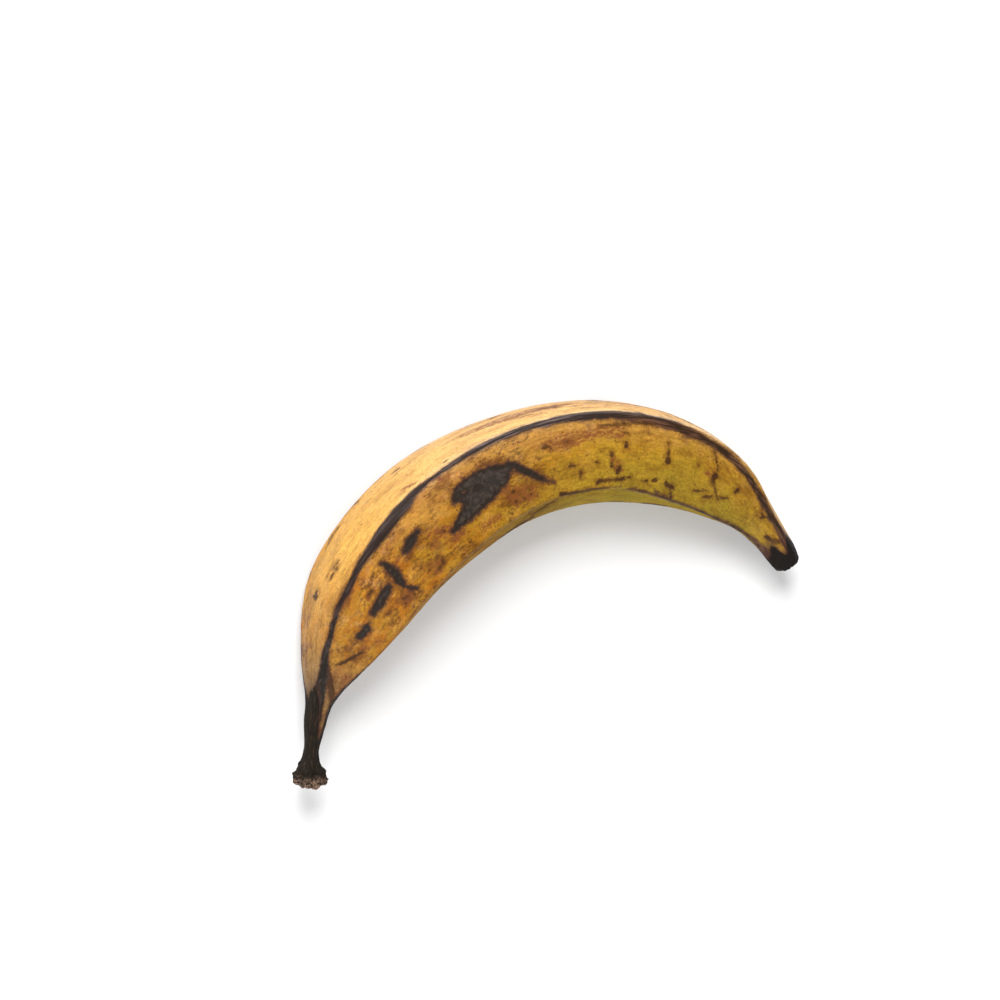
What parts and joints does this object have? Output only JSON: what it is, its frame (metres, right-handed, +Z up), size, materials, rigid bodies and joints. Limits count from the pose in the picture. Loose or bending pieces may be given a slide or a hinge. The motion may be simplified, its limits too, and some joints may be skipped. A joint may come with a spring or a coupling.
{
  "type": "plantain",
  "caption": "Ripe plantain fruit with a woody stem, soft ridges and a blunt blossom end, curved and lying on its side.",
  "frame": {"origin": "on the surface that the fruit lies on, under the middle of its box", "axes": "+X along the chord from the stem to the blossom end, +Y towards the outer side of the curve, +Z up from the side that the fruit lies on"},
  "size_m": [0.2264, 0.1088, 0.0455],
  "materials": {
    "skin": "satin"
  },
  "bodies": {
    "root": {"plantain": "skin"}
  },
  "joints": []
}
